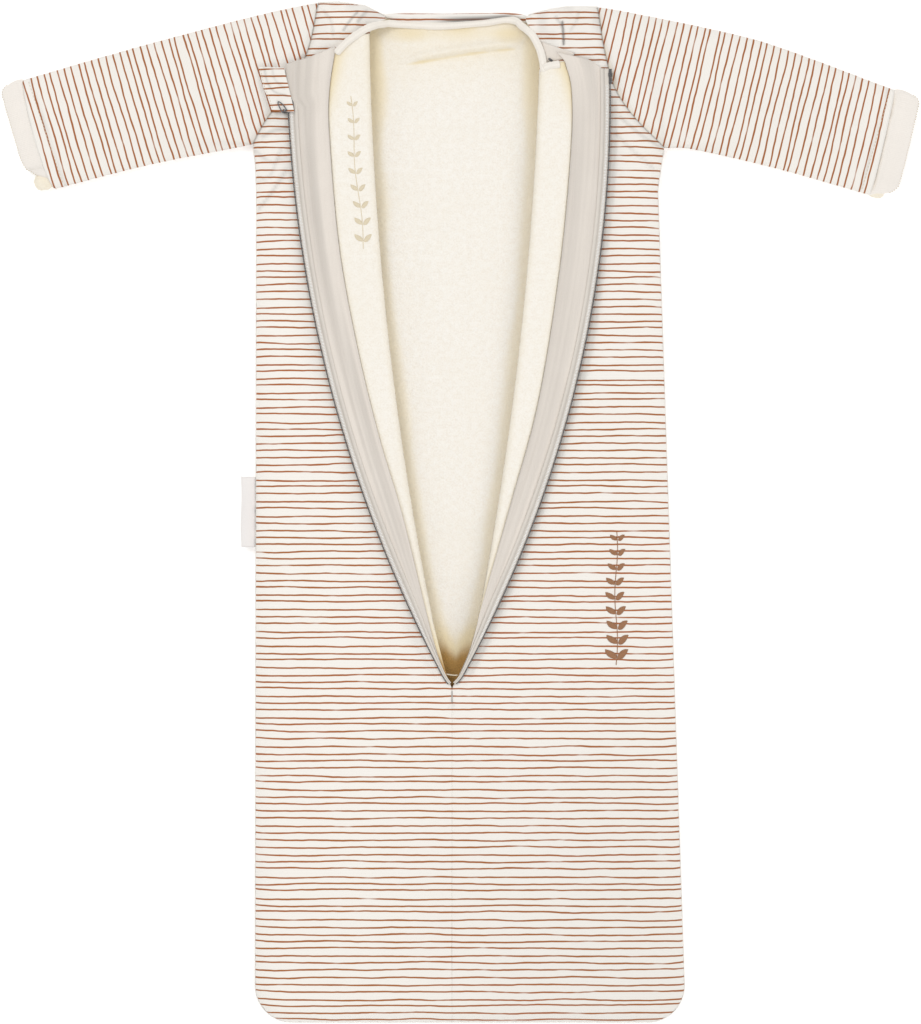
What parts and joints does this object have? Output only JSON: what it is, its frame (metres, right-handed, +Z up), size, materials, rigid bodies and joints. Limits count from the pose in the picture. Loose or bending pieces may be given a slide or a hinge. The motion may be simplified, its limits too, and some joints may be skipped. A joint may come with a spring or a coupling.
{
  "type": "baby sleeping bag",
  "caption": "Long-sleeved padded baby sleeping bag with a front zip, both front flaps folded open, a plush lining and fold-over cuffs.",
  "frame": {"origin": "middle of the footprint, on the surface that the bag lies on", "axes": "+Z up out of the front, +Y towards the neck, +X towards the viewer's right, which is the wearer's left arm"},
  "size_m": [0.8097, 0.9, 0.0297],
  "materials": {
    "shell": "off-white cotton jersey with thin hand-drawn rust stripes, matt",
    "plush": "cream plush with a soft short pile",
    "wadding": "white needled polyester wadding",
    "facing": "beige-grey jersey, matt",
    "binding": "cream jersey, matt",
    "label": "off-white woven tape",
    "zip_tape": "light grey woven tape with a twill rib",
    "zip_chain": "dark grey moulded teeth",
    "zip_metal": "dark nickel",
    "thread": "rust-brown embroidery thread with a silky sheen"
  },
  "bodies": {
    "bag": {"back_shell": "shell", "back_wadding": "wadding", "back_lining": "plush", "front_shell_left": "shell", "front_shell_right": "shell", "front_wadding_left": "wadding", "front_wadding_right": "wadding", "front_lining_left": "plush", "front_lining_right": "plush", "side_seam_left": "shell", "side_seam_right": "shell", "bottom_seam": "shell", "shoulder_seam_left": "shell", "shoulder_seam_right": "shell", "neck_band": "shell", "neck_binding_back": "binding", "neck_binding_left": "binding", "neck_binding_right": "binding", "side_label": "label", "zip_bartack": "thread", "zip_chain_foot_left": "zip_chain", "zip_chain_foot_right": "zip_chain", "sleeve_cap_left": "shell", "sleeve_cap_right": "shell"},
    "flap_left": {"flap_shell_left": "shell", "flap_wadding_left": "wadding", "flap_lining_left": "plush", "flap_facing_left": "facing", "flap_binding_left": "binding", "zip_tape_left": "zip_tape", "zip_chain_left": "zip_chain", "zip_box": "zip_metal", "zip_garage": "shell"},
    "flap_right": {"flap_shell_right": "shell", "flap_wadding_right": "wadding", "flap_lining_right": "plush", "flap_facing_right": "facing", "flap_binding_right": "binding", "zip_tape_right": "zip_tape", "zip_chain_right": "zip_chain", "zip_pin": "zip_metal"},
    "slider": {"zip_slider": "zip_metal"},
    "puller": {"zip_puller": "zip_metal"},
    "sleeve_left": {"sleeve_shell_left": "shell", "sleeve_lining_left": "plush"},
    "sleeve_right": {"sleeve_shell_right": "shell", "sleeve_lining_right": "plush"},
    "cuff_left": {"cuff_left": "binding", "cuff_lining_left": "plush"},
    "cuff_right": {"cuff_right": "binding", "cuff_lining_right": "plush"}
  },
  "joints": [
    {"name": "flap_left_fold", "type": "hinge", "parent": "bag", "child": "flap_left", "pos_m": [-0.06473, 0.138, 0.02115], "axis": [-0.1168, 0.9932, 0], "range_deg": [0, 178]},
    {"name": "flap_right_fold", "type": "hinge", "parent": "bag", "child": "flap_right", "pos_m": [0.05084, 0.138, 0.02115], "axis": [-0.1204, -0.9927, 0], "range_deg": [0, 178]},
    {"name": "zip_travel", "type": "hinge", "parent": "flap_left", "child": "slider", "pos_m": [1.02527, 0.40687, 0.0235], "axis": [0, 0, 1], "range_deg": [0, 22.2]},
    {"name": "puller_swing", "type": "hinge", "parent": "slider", "child": "puller", "pos_m": [-0.15441, 0.35208, 0.0276], "axis": [0.8251, 0.565, 0], "range_deg": [0, 180]},
    {"name": "sleeve_left_lift", "type": "hinge", "parent": "bag", "child": "sleeve_left", "pos_m": [-0.18615, 0.38, 0.0183], "axis": [0, 1, 0], "range_deg": [0, 120]},
    {"name": "sleeve_right_lift", "type": "hinge", "parent": "bag", "child": "sleeve_right", "pos_m": [0.18615, 0.377, 0.0183], "axis": [0, -1, 0], "range_deg": [0, 120]},
    {"name": "cuff_left_fold", "type": "hinge", "parent": "sleeve_left", "child": "cuff_left", "pos_m": [-0.372, 0.3335, 0.01355], "axis": [-0.2821, 0.9594, 0], "range_deg": [0, 175]},
    {"name": "cuff_right_fold", "type": "hinge", "parent": "sleeve_right", "child": "cuff_right", "pos_m": [0.3724, 0.3264, 0.01355], "axis": [-0.2316, -0.9728, 0], "range_deg": [0, 175]}
  ]
}
